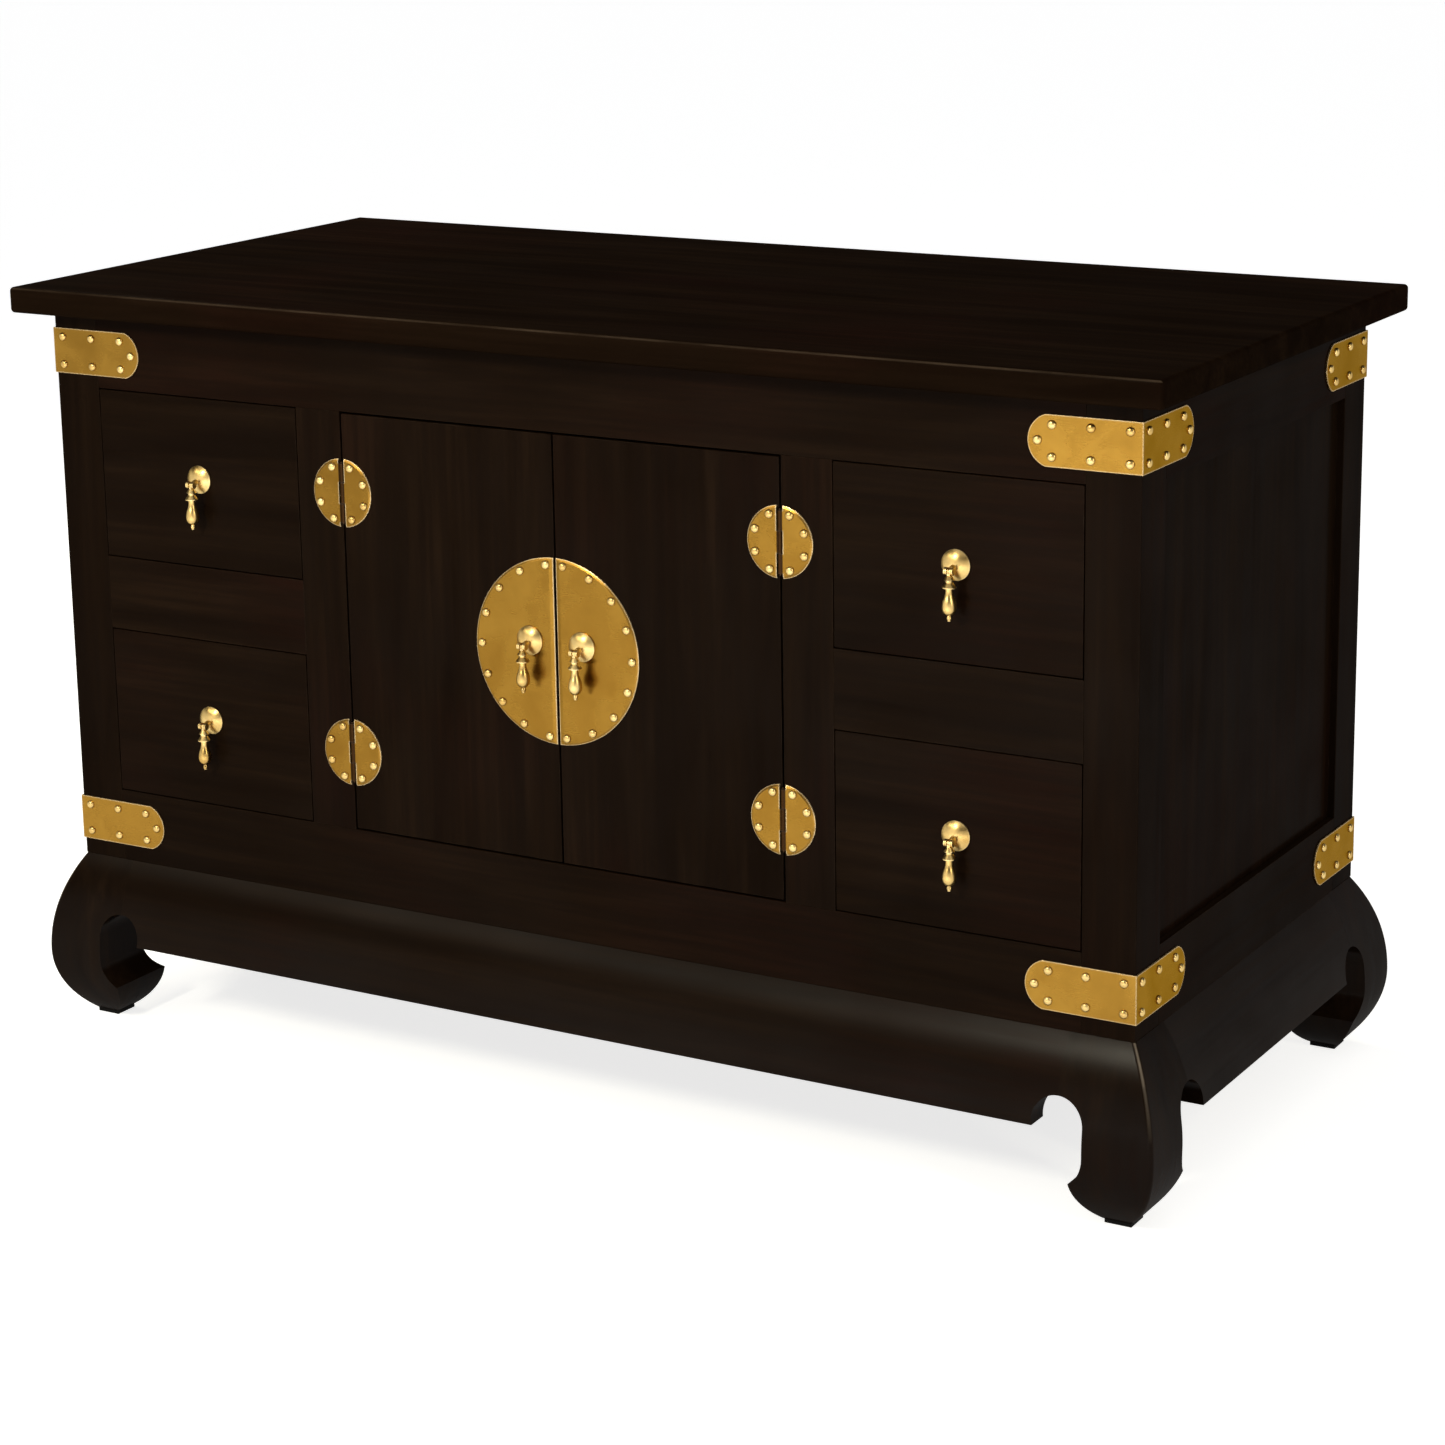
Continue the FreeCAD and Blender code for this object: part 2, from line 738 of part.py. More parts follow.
def make_hinges():
    plate = place(half_disc("hinge_plate", "hinge_plate_radius", "hinge_plate_gap"), along="hinge_proud")
    length = "hinge_length + 2 * overrun"
    bore = cylinder("hinge_bore", "knuckle_bore", length, up=f"-({length}) / 2")
    outer_end = "outer_knuckle_start + outer_knuckle_length"
    fixed_pieces = [plate]
    fixed_pieces += knuckle("top_knuckle", 1, "outer_knuckle_start", outer_end)
    fixed_pieces += knuckle("bottom_knuckle", 1, f"-({outer_end})", "-(outer_knuckle_start)")
    fixed = cut("fixed_leaf", fuse("fixed_leaf_blank", fixed_pieces), bore)
    door_plate = copy("door_plate", plate, axis=(0, 1, 0), turn=HALF_TURN)
    door_pieces = [door_plate] + knuckle("middle_knuckle", -1, *middle_span("middle_knuckle_length"))
    moving = cut("door_leaf", fuse("door_leaf_blank", door_pieces), bore)
    pin_length = "hinge_length + 2 * hinge_pin_end"
    pin = cylinder("hinge_pin", "hinge_pin_radius", pin_length, up=f"-({pin_length}) / 2")

    fixed_leaves, pins = [], []
    for side in SIDES:
        door_leaves = []
        for level, up in HINGE_HEIGHTS.items():
            spot = (side, "hinge_across", "hinge_level", up)
            fixed_leaves.append(faced(f"{side}_{level}_fixed_leaf", fixed, *spot))
            door_leaves.append(faced(f"{side}_{level}_door_leaf", moving, *spot))
            pins.append(faced(f"{side}_{level}_pin", pin, *spot))
        keep(f"{side}_door_hinge_leaves", group(f"{side}_door_leaf_set", door_leaves))
    keep("fixed_hinge_leaves", group("fixed_leaf_set", fixed_leaves))
    keep("hinge_pins", group("pin_set", pins))


# Drop pulls: a domed rosette with a forked post, and a turned drop that swings on its pin


def make_pull_mount():
    """A rosette on a face at zero, and a post that leans down to a fork across the pull's pin."""
    dome = [
        ("0", "0"),
        ("rosette_radius", "0"),
        ("rosette_radius", "-rosette_rim"),
        ("0", "-rosette_height", "plumb", "0"),
    ]
    rosette = turned("rosette", "XY_Plane", dome)
    start = ("0", "-post_radius", "-post_radius * pull_sag / pull_reach")
    post = cylinder("pull_post", "post_radius", "sqrt(pull_reach ^ 2 + pull_sag ^ 2) - post_radius", *start)
    post.Placement.Rotation = FreeCAD.Rotation(FreeCAD.Vector(1, 0, 0), QUARTER_TURN)
    lean = f"{QUARTER_TURN} deg + atan(pull_sag / pull_reach)"
    post.setExpression("Placement.Rotation.Angle", formula(lean))
    spot = ("-pull_reach", "-pull_sag")
    head = cross_cylinder("pull_head", "head_radius", "head_width", *spot)
    along = ("-(pull_reach + head_radius + overrun)", "eye_room - pull_reach")
    up = ("-(pull_sag + head_radius + overrun)", "head_radius + overrun")
    slot = box("pull_slot", middle_span("slot_width"), along, up)
    hole = cross_cylinder("pull_pin_hole", "pull_pin_radius + pin_clearance", "head_width + overrun", *spot)
    pin = cross_cylinder("pull_pin", "pull_pin_radius", "head_width", *spot)
    fork = cut("pull_fork", fuse("pull_fork_blank", [post, head]), fuse("pull_fork_cuts", [slot, hole]))
    return group("pull_mount", [fuse("pull_stand", [rosette, fork]), pin])


def make_pull_drop():
    """A turned drop hanging from an eye, with its pin's axis at the origin."""
    corners = [
        ("0", "-ring_top"),
        ("ring_top_radius", "-ring_top"),
        ("ring_radius", "-ring_bottom"),
        ("groove_radius", "-groove_top"),
        ("groove_radius", "-groove_bottom"),
        ("collar_radius", "-collar_rim"),
        ("collar_radius", "-collar_bottom"),
        ("neck_radius", "-collar_bottom"),
        ("neck_radius", "-neck_drop"),
        ("bulb_turn_radius", "-bulb_turn_drop", "level", "-neck_drop"),
        ("bulb_radius", "-bulb_drop", "level", "-bulb_drop"),
        ("finial_neck_radius", "-finial_neck_drop", "level", "-bulb_drop"),
        ("finial_radius", "-finial_drop"),
        ("finial_end_radius", "-pull_drop"),
        ("0", "-pull_drop"),
    ]
    form = turned("drop_form", "XZ_Plane", corners)
    thick = "slot_width - 2 * slot_gap"
    eye = cross_cylinder("drop_eye", "eye_radius", thick)
    tang = box("drop_tang", middle_span(thick), middle_span("tang_depth"), ("-ring_bottom", "0"))
    hole = cross_cylinder("drop_hole", "pull_pin_radius + pin_clearance", "slot_width + overrun")
    return cut("drop", fuse("drop_blank", [form, eye, tang]), hole)


def hang_pull(name, mount, drop, across, along, up):
    keep(f"{name}_pull_mount", copy(f"{name}_mount", mount, across, along, up))
    pin_spot = (across, f"{along} - pull_reach", f"{up} - pull_sag")
    keep(f"{name}_pull_drop", copy(f"{name}_drop", drop, *pin_spot))


# Doors and drawers


def make_medallion():
    """Half of a round plate, bevelled along the split too."""

    def beside_split(point):
        return on_front(point) and point.x < value("medallion_split")

    body = half_disc("medallion", "medallion_radius", "medallion_split / 2")
    bevel(body, beside_split, "split_bevel_depth", "split_bevel")
    return body


def make_doors(recesses, mount, drop):
    medallion = make_medallion()
    thick = ("front_face", "frame_back - stop_gap")
    tall = ("opening_bottom + door_gap", "opening_top - door_gap")
    for side, sign in SIDES.items():
        across = span(sign, "door_gap / 2", "door_edge - door_gap")
        blank = box(f"{side}_door_blank", across, thick, tall)
        keep(f"{side}_door_panel", cut(f"{side}_door", blank, *recesses[side]))
        plate = faced(f"{side}_half", medallion, side, "0", "front_face", "opening_middle")
        keep(f"{side}_medallion_half", plate)
        across, along = f"{sign} * door_pull_inset", "front_face - plate_thickness"
        hang_pull(f"{side}_door", mount, drop, across, along, "opening_middle + door_pull_rise")


def make_drawer(name, sign, low, high, mount, drop):
    """A flush front on a box whose bottom is let into grooves all round."""
    front_back = "front_face + drawer_front_thickness"
    near, far = "bay_inner + drawer_side_gap", "bay_outer - drawer_side_gap"
    base = f"{low} + runner_height + running_gap"
    up = (base, f"{high} - drawer_head_room")
    thick = "drawer_side_thickness"
    inner, outer = f"{near} + {thick}", f"{far} - {thick}"
    bottom = box(
        f"{name}_bottom",
        span(sign, f"{inner} - drawer_groove", f"{outer} + drawer_groove"),
        (f"{front_back} - drawer_groove", f"drawer_back - {thick} + drawer_groove"),
        (f"{base} + drawer_bottom_rise", f"{base} + drawer_bottom_rise + drawer_bottom_thickness"),
    )
    across = span(sign, "bay_inner + drawer_gap", "bay_outer - drawer_gap")
    tall = (f"{low} + drawer_gap", f"{high} - drawer_gap")
    blank = box(f"{name}_blank", across, ("front_face", front_back), tall)
    keep(f"{name}_drawer_front", cut(f"{name}_front", blank, bottom))
    walls = {
        "inner": (span(sign, near, inner), (front_back, "drawer_back")),
        "outer": (span(sign, outer, far), (front_back, "drawer_back")),
        "rear": (span(sign, inner, outer), (f"drawer_back - {thick}", "drawer_back")),
    }
    sides = [
        cut(f"{name}_{wall}_wall", box(f"{name}_{wall}_board", wall_across, wall_along, up), bottom)
        for wall, (wall_across, wall_along) in walls.items()
    ]
    keep(f"{name}_drawer_box", group(f"{name}_box_set", sides + [bottom]))
    middle = f"({low} + {high}) / 2 + pull_rise"
    hang_pull(f"{name}_drawer", mount, drop, f"{sign} * bay_middle", "front_face", middle)


# The whole cabinet


def make_cabinet():
    panels = make_panels()
    recesses = make_hinge_recesses()
    mount, drop = make_pull_mount(), make_pull_drop()
    make_top()
    make_posts(panels)
    make_rails(panels)
    make_front_dividers(recesses)
    make_inside()
    make_runners()
    make_legs()
    make_aprons()
    make_pads()
    make_brackets()
    make_hinges()
    make_doors(recesses, mount, drop)
    for level, (low, high) in LEVELS.items():
        for side, sign in SIDES.items():
            make_drawer(f"{level}_{side}", sign, low, high, mount, drop)
    doc.recompute()


def check_cabinet():
    for item in doc.Objects:
        if "Invalid" in item.State or "Error" in item.State:
            raise RuntimeError(f"{item.Label} did not build: {item.State}")
    for item in parts:
        if item.Shape.isNull() or not item.Shape.isValid() or not item.Shape.Solids:
            raise RuntimeError(f"{item.Label} has no sound solid")


make_cabinet()
check_cabinet()
os.makedirs("parts", exist_ok=True)
for part in parts:
    part.Shape.exportStep(f"parts/{part.Label}.step")
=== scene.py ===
import math
import random

import bmesh
import bpy
from mathutils import Matrix, Vector


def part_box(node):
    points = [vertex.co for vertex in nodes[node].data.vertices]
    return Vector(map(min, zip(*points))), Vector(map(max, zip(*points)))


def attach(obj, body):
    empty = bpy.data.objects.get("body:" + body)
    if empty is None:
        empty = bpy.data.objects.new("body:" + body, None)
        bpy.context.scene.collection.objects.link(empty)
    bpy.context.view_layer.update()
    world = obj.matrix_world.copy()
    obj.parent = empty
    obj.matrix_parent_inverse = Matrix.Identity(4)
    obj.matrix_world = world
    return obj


# A low dark sideboard with brass fittings, dressed in lacquer, brass and domed nails.
# Metres, +Z up, front towards -Y, origin on the floor under the middle of the cabinet.

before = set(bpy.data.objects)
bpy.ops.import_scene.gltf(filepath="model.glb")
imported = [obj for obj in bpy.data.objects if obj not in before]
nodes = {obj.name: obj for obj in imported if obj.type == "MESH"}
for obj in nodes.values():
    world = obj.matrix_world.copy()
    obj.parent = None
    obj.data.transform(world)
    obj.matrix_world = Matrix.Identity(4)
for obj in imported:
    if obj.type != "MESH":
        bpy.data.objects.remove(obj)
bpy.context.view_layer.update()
scene = bpy.context.scene
scene.view_settings.view_transform = "Standard"

SIDES = {"left": -1, "right": 1}
ENDS = ("front", "back")
LEVELS = ("lower", "upper")
AXES = {"across": 0, "along": 1, "up": 2}
WHITE = (1.0, 1.0, 1.0)
OPAQUE = 1.0

# Node graphs

EDGE_SAMPLES = 6
UNSCALED = 1.0
PIECE_SHIFT = (17.0, 11.0, 5.0)


class Graph:
    """A node tree, with short calls for the nodes that the finishes, the floor and the world share."""

    def __init__(self, tree):
        self.tree = tree

    def add(self, kind, inputs=None, **settings):
        item = self.tree.nodes.new(kind)
        for name, setting in settings.items():
            setattr(item, name, setting)
        for name, source in (inputs or {}).items():
            self.feed(item.inputs[name], source)
        return item

    def feed(self, socket, source):
        """Links an input to another node's output, or sets it to a number, a vector or a colour."""
        if isinstance(source, bpy.types.NodeSocket):
            self.tree.links.new(source, socket)
        elif socket.type == "RGBA":
            socket.default_value = (*source, OPAQUE)
        else:
            socket.default_value = source

    def math(self, operation, first, second=0.0, clamp=False):
        item = self.add("ShaderNodeMath", operation=operation, use_clamp=clamp)
        self.feed(item.inputs[0], first)
        self.feed(item.inputs[1], second)
        return item.outputs["Value"]

    def vector(self, operation, first, second, output="Vector"):
        item = self.add("ShaderNodeVectorMath", operation=operation)
        self.feed(item.inputs[0], first)
        self.feed(item.inputs[1], second)
        return item.outputs[output]

    def parts(self, vector):
        return self.add("ShaderNodeSeparateXYZ", {"Vector": vector}).outputs

    def spread(self, source, low, high, to_low=0.0, to_high=1.0):
        """Takes low to to_low and high to to_high, and stays at these beyond them."""
        inputs = {"Value": source, "From Min": low, "From Max": high, "To Min": to_low, "To Max": to_high}
        return self.add("ShaderNodeMapRange", inputs).outputs["Result"]

    def weighed(self, first, share, second):
        """The mean of two values, with this share of the first and the rest of the second."""
        part = self.math("MULTIPLY", first, share)
        rest = self.math("MULTIPLY", second, 1.0 - share)
        return self.math("ADD", part, rest)

    def blend(self, share, first, second):
        """The first colour mixed with a share of the second."""
        item = self.add("ShaderNodeMix", data_type="RGBA")
        colours = [socket for socket in item.inputs if socket.type == "RGBA"]
        self.feed(item.inputs["Factor"], share)
        for socket, colour in zip(colours, (first, second)):
            self.feed(socket, colour)
        return next(socket for socket in item.outputs if socket.type == "RGBA")

    def noise(self, vector, scale, detail, waver=0.0):
        inputs = {"Vector": vector, "Scale": scale, "Detail": detail, "Distortion": waver}
        return self.add("ShaderNodeTexNoise", inputs).outputs["Fac"]

    def stretched_noise(self, vector, scales, detail, waver=0.0):
        """Noise with a scale of its own along each axis."""
        return self.noise(self.vector("MULTIPLY", vector, scales), UNSCALED, detail, waver)

    def spot(self):
        """Places on the piece, measured in the frame of the closed cabinet."""
        return self.add("ShaderNodeTexCoord").outputs["Object"]

    def shifted_spot(self):
        """Places on the piece, shifted by a different amount on each piece."""
        number = self.add("ShaderNodeObjectInfo").outputs["Random"]
        return self.vector("ADD", self.spot(), self.vector("MULTIPLY", PIECE_SHIFT, number))

    def height(self, low, high):
        """Zero below the low height and one above the high one."""
        return self.spread(self.parts(self.spot())["Z"], low, high)

    def normal(self):
        return self.add("ShaderNodeNewGeometry").outputs["Normal"]

    def edges(self, radius, low, high):
        """One along the piece's arrises, fading to zero on its flats."""
        rounded = self.add("ShaderNodeBevel", {"Radius": radius}, samples=EDGE_SAMPLES).outputs["Normal"]
        agreement = self.vector("DOT_PRODUCT", rounded, self.normal(), "Value")
        return self.spread(self.math("SUBTRACT", 1.0, agreement), low, high)

    def front_arris(self, low, high):
        """One on a rounded arris between the top and the front, fading to zero on the flats beside it."""
        facing = self.parts(self.normal())
        forward = self.math("MULTIPLY", facing["Y"], -1.0)
        return self.spread(self.math("MINIMUM", facing["Z"], forward), low, high)

    def upright_arris(self, low, high):
        """One on a rounded arris between two upright faces, fading to zero on the faces beside it."""
        facing = self.parts(self.normal())
        across = self.math("ABSOLUTE", facing["X"])
        along = self.math("ABSOLUTE", facing["Y"])
        return self.spread(self.math("MINIMUM", across, along), low, high)

    def seen(self):
        """One for rays from the eye and from reflections, zero for light on the object."""
        path = self.add("ShaderNodeLightPath").outputs
        return self.math("ADD", path["Is Camera Ray"], path["Is Glossy Ray"], clamp=True)


class Finish(Graph):
    """A material with one Principled shader."""

    def __init__(self, name):
        self.material = bpy.data.materials.new(name)
        self.material.use_nodes = True
        super().__init__(self.material.node_tree)
        self.tree.nodes.clear()
        self.shader = self.add("ShaderNodeBsdfPrincipled")
        output = self.add("ShaderNodeOutputMaterial")
        self.tree.links.new(self.shader.outputs["BSDF"], output.inputs["Surface"])

    def set(self, **inputs):
        for name, source in inputs.items():
            self.feed(self.shader.inputs[name.replace("_", " ")], source)

    def bump(self, height, depth, strength):
        inputs = {"Height": height, "Distance": depth, "Strength": strength}
        self.set(Normal=self.add("ShaderNodeBump", inputs).outputs["Normal"])


# Wood, with each pair of scales along and across the grain

FIGURE_SCALES = (2.2, 30.0)
FIGURE_DETAIL = 5.0
FIGURE_WAVER = 0.7
FIGURE_LIMITS = (0.35, 0.68)
STREAK_SCALES = (6.6, 180.0)
STREAK_DETAIL = 3.0
STREAK_LIMITS = (0.40, 0.62)
STREAK_SHARES = (0.55, 0.0)
CLOUD_SCALE = 3.5
CLOUD_DETAIL = 3.0
CLOUD_LIMITS = (0.48, 0.75)
CLOUD_SHARES = (0.0, 0.6)
WOOD_EDGE = 0.0016
WOOD_EDGE_LIMITS = (0.02, 0.30)
WEAR_SCALE = 60.0
WEAR_DETAIL = 4.0
WEAR_LIMITS = (0.42, 0.70)
WEAR_SHARES = (0.0, 0.8)
PATCH_SCALE = 14.0
PATCH_DETAIL = 4.0
PATCH_LIMITS = (0.36, 0.60)
PATCH_SHARES = (0.25, 1.0)
SMEAR_SCALE = 9.0
SMEAR_DETAIL = 5.0
SMEAR_SHARE = 0.6
SMEAR_LIMITS = (0.35, 0.65)
PORE_SCALES = (22.0, 900.0)
PORE_DETAIL = 2.0
PORE_LIMITS = (0.28, 0.50)
PORE_DEPTH = 0.00012
PORE_STRENGTH = 0.35
# Where the pale paint for wear from handling and a painted highlight lies: the turn of the normal across
# the top's front arris and a leg's outer arris, and the height on the legs.
TOP_RUB_AND_HIGHLIGHT_TURN = (0.40, 0.62)
LEG_RUB_AND_HIGHLIGHT_TURN = (0.22, 0.50)
LEG_RUB_AND_HIGHLIGHT_RISE = (0.092, 0.145)

LACQUERED = {
    "dark": (0.0070, 0.0036, 0.0019),
    "light": (0.0146, 0.0079, 0.0042),
    "red": (0.0182, 0.0064, 0.0040),
    "worn": (0.0500, 0.0340, 0.0220),
    "base_gloss": 0.0,
    "roughness": (0.36, 0.52),
    "coat_shares": (0.036, 0.018),
    "coat_roughness": 0.22,
}
POLISHED = {
    **LACQUERED,
    "worn": (0.0190, 0.0115, 0.0065),
    # Pale paint on the legs' outer arrises: a painted highlight, with wear from handling.
    "rub_and_highlight": (0.320, 0.260, 0.200),
    "coat_shares": (0.102, 0.064),
    "coat_roughness": 0.24,
}
DULLED = {
    **LACQUERED,
    # Paint on the top's front arris: wear from handling with a painted highlight.
    "rub_and_highlight": (0.050, 0.034, 0.022),
    "coat_shares": (0.0045, 0.0025),
}
STAINED = {
    "dark": (0.030, 0.016, 0.009),
    "light": (0.085, 0.048, 0.027),
    "red": (0.095, 0.042, 0.024),
    "worn": (0.16, 0.10, 0.06),
    "base_gloss": 0.25,
    "roughness": (0.48, 0.66),
    "coat_shares": (0.0, 0.0),
    "coat_roughness": 0.4,
}


def along_grain(axis, along, across):
    """Scales for noise that is drawn out along one axis."""
    scales = [across] * len(AXES)
    scales[AXES[axis]] = along
    return tuple(scales)


def top_rub_and_highlight(g):
    """One along the upper front arris, where wear from handling and a painted highlight are laid."""
    return g.front_arris(*TOP_RUB_AND_HIGHLIGHT_TURN)


def leg_rub_and_highlight(g):
    """One along the upper part of a leg's outer arris, where a painted highlight and wear from handling
    are laid.
    """
    return g.math("MULTIPLY", g.upright_arris(*LEG_RUB_AND_HIGHLIGHT_TURN), g.height(*LEG_RUB_AND_HIGHLIGHT_RISE))


def wood(name, axis, look, rub_and_highlight_mask=None):
    """Straight-grained timber with its grain along one axis, stained and finished as the look says. It is
    paler in patches along an arris that the mask gives: wear from handling together with a painted
    highlight."""
    g = Finish(name)
    spot = g.shifted_spot()
    figure = g.stretched_noise(spot, along_grain(axis, *FIGURE_SCALES), FIGURE_DETAIL, FIGURE_WAVER)
    streaks = g.stretched_noise(spot, along_grain(axis, *STREAK_SCALES), STREAK_DETAIL)
    pores = g.stretched_noise(spot, along_grain(axis, *PORE_SCALES), PORE_DETAIL)
    clouds = g.noise(spot, CLOUD_SCALE, CLOUD_DETAIL)
    colour = g.blend(g.spread(figure, *FIGURE_LIMITS), look["dark"], look["light"])
    colour = g.blend(g.spread(clouds, *CLOUD_LIMITS, *CLOUD_SHARES), colour, look["red"])
    colour = g.blend(g.spread(streaks, *STREAK_LIMITS, *STREAK_SHARES), colour, look["dark"])
    worn = g.spread(g.noise(spot, WEAR_SCALE, WEAR_DETAIL), *WEAR_LIMITS, *WEAR_SHARES)
    worn_edges = g.math("MULTIPLY", g.edges(WOOD_EDGE, *WOOD_EDGE_LIMITS), worn)
    colour = g.blend(worn_edges, colour, look["worn"])
    # Pale paint along an arris: wear from handling together with a painted highlight.
    if rub_and_highlight_mask:
        patches = g.spread(g.noise(spot, PATCH_SCALE, PATCH_DETAIL), *PATCH_LIMITS, *PATCH_SHARES)
        colour = g.blend(g.math("MULTIPLY", rub_and_highlight_mask(g), patches), colour, look["rub_and_highlight"])
    smears = g.weighed(g.noise(spot, SMEAR_SCALE, SMEAR_DETAIL), SMEAR_SHARE, streaks)
    g.set(Base_Color=colour, Roughness=g.spread(smears, *SMEAR_LIMITS, *look["roughness"]))
    g.set(Specular_IOR_Level=look["base_gloss"], Coat_Roughness=look["coat_roughness"])
    g.set(Coat_Weight=g.spread(smears, *SMEAR_LIMITS, *look["coat_shares"]))
    g.bump(g.spread(pores, *PORE_LIMITS), PORE_DEPTH, PORE_STRENGTH)
    return g.material


# Brass

TARNISH_SCALE = 22.0
TARNISH_DETAIL = 5.0
TARNISH_WAVER = 0.4
TARNISH_LIMITS = (0.34, 0.66)
TARNISH_SHARE = 0.8
SCRATCH_SCALES = (40.0, 40.0, 1500.0)
SCRATCH_DETAIL = 3.0
SCRATCH_DEPTH_SHARE = 0.008
UNEVEN_LIMITS = (0.35, 0.65)
RIPPLE_SCALE = 38.0
RIPPLE_DETAIL = 2.0
RIPPLE_STRENGTH = 0.5
BRASS_EDGE = 0.0024
BRASS_EDGE_LIMITS = (0.03, 0.25)
GRAZING_TINT = (0.55, 0.50, 0.42)
# Darker colour for the hinge crevices.
CREVICE_DARK = (0.030, 0.014, 0.005)
CREVICE_LIMITS = (0.0027, 0.0033)

PLATE_BRASS = {
    "deep": (0.245, 0.126, 0.018),
    "pale": (0.315, 0.170, 0.027),
    # The rim colour; where the rim is partly unmetallic, as on the plates, it is a painted highlight.
    "edge": (0.780, 0.620, 0.380),
    "painted_rim_share": 0.6,
    "roughness": (0.23, 0.31),
    "ripple": 0.0005,
}
DOOR_BRASS = {
    **PLATE_BRASS,
    "deep": (0.190, 0.096, 0.013),
    "pale": (0.245, 0.131, 0.020),
}
BRIGHT_BRASS = {
    "deep": (0.51, 0.320, 0.095),
    "pale": (0.78, 0.580, 0.240),
    "edge": (0.90, 0.700, 0.360),
    "painted_rim_share": 0.0,
    "roughness": (0.26, 0.36),
    "ripple": 0.0002,
}


def crevice_darkening(g, across):
    """One in the upright crevices this far from the middle plane, zero outside them."""
    side = g.math("ABSOLUTE", g.parts(g.spot())["X"])
    off = g.math("ABSOLUTE", g.math("SUBTRACT", side, across))
    return g.spread(off, *CREVICE_LIMITS, 1.0, 0.0)


def brass(name, look, crevice=None):
    """Aged brass: uneven tone, fine rub marks across, and arrises polished by handling, which on the
    plates are pale and partly unmetallic, a painted highlight. A crevice, given by how far it is from the
    middle plane, is darker."""
    g = Finish(name)
    spot = g.shifted_spot()
    tarnish = g.noise(spot, TARNISH_SCALE, TARNISH_DETAIL, TARNISH_WAVER)
    marks = g.stretched_noise(spot, SCRATCH_SCALES, SCRATCH_DETAIL)
    colour = g.blend(g.spread(tarnish, *TARNISH_LIMITS), look["deep"], look["pale"])
    # A paler rim along the arrises: polish, and on the plates also a painted highlight, as the rim there
    # is partly unmetallic.
    rim = g.edges(BRASS_EDGE, *BRASS_EDGE_LIMITS)
    colour = g.blend(rim, colour, look["edge"])
    # Darker in the upright crevices by the hinge pins.
    if crevice:
        colour = g.blend(crevice_darkening(g, crevice), colour, CREVICE_DARK)
    g.set(Base_Color=colour, Specular_Tint=GRAZING_TINT)
    g.set(Metallic=g.spread(rim, 0.0, 1.0, 1.0, 1.0 - look["painted_rim_share"]))
    uneven = g.weighed(tarnish, TARNISH_SHARE, marks)
    g.set(Roughness=g.spread(uneven, *UNEVEN_LIMITS, *look["roughness"]))
    ripples = g.noise(spot, RIPPLE_SCALE, RIPPLE_DETAIL)
    height = g.math("ADD", ripples, g.math("MULTIPLY", marks, SCRATCH_DEPTH_SHARE))
    g.bump(height, look["ripple"], RIPPLE_STRENGTH)
    return g.material


# Rubber

RUBBER_DARK = (0.003, 0.003, 0.003)
RUBBER_LIGHT = (0.009, 0.008, 0.008)
RUBBER_GLOSS = 0.1
GRIT_SCALE = 900.0
GRIT_DETAIL = 3.0
GRIT_LIMITS = (0.3, 0.7)
GRIT_ROUGHNESS = (0.70, 0.95)
GRIT_DEPTH = 0.0002
GRIT_STRENGTH = 0.4


def rubber(name):
    g = Finish(name)
    grit = g.noise(g.shifted_spot(), GRIT_SCALE, GRIT_DETAIL)
    g.set(Base_Color=g.blend(grit, RUBBER_DARK, RUBBER_LIGHT), Specular_IOR_Level=RUBBER_GLOSS)
    g.set(Roughness=g.spread(grit, *GRIT_LIMITS, *GRIT_ROUGHNESS))
    g.bump(grit, GRIT_DEPTH, GRIT_STRENGTH)
    return g.material


# What each CAD piece is finished with, and how far its arrises are eased

EASED_FRAME = 0.0007
EASED_PANEL = 0.0010
EASED_BRASS = 0.0005
EASED_STEPS = 3
SHARP_ANGLE = math.radians(35)
WELD_REACH = 0.00002
PIN_RADIUS = 0.00125


def ease(name, width):
    """Rounds a CAD piece's arrises for the render with modifiers. Its own mesh stays as it is."""
    weld = nodes[name].modifiers.new("weld", "WELD")
    weld.merge_threshold = WELD_REACH
    bevel = nodes[name].modifiers.new("ease", "BEVEL")
    bevel.width = width
    bevel.segments = EASED_STEPS
    bevel.limit_method = "ANGLE"
    bevel.angle_limit = SHARP_ANGLE
    bevel.harden_normals = True


def finish(name, material, eased=None):
    slots = nodes[name].data.materials
    slots.clear()
    slots.append(material)
    if eased:
        ease(name, eased)


def finish_frame():
    """Lacquer on the top, the frame, the panels, the doors and the drawers' fronts."""
    across = wood("lacquer_across", "across", LACQUERED)
    along = wood("lacquer_along", "along", LACQUERED)
    up = wood("lacquer_up", "up", LACQUERED)
    # The top's front arris carries paler paint: wear from handling with a painted highlight.
    finish("top_panel", wood("lacquer_top", "across", DULLED, top_rub_and_highlight))
    for name in ("front_top_rail", "front_bottom_rail", "drawer_rails", "back_rails"):
        finish(name, across, EASED_FRAME)
    finish("side_rails", along, EASED_FRAME)
    finish("front_stiles", up, EASED_FRAME)
    finish("back_panel", up)
    for side in SIDES:
        finish(f"{side}_side_panel", up)
        finish(f"{side}_door_panel", up, EASED_PANEL)
        for end in ENDS:
            finish(f"{end}_{side}_post", up, EASED_FRAME)
        for level in LEVELS:
            finish(f"{level}_{side}_drawer_front", across, EASED_PANEL)


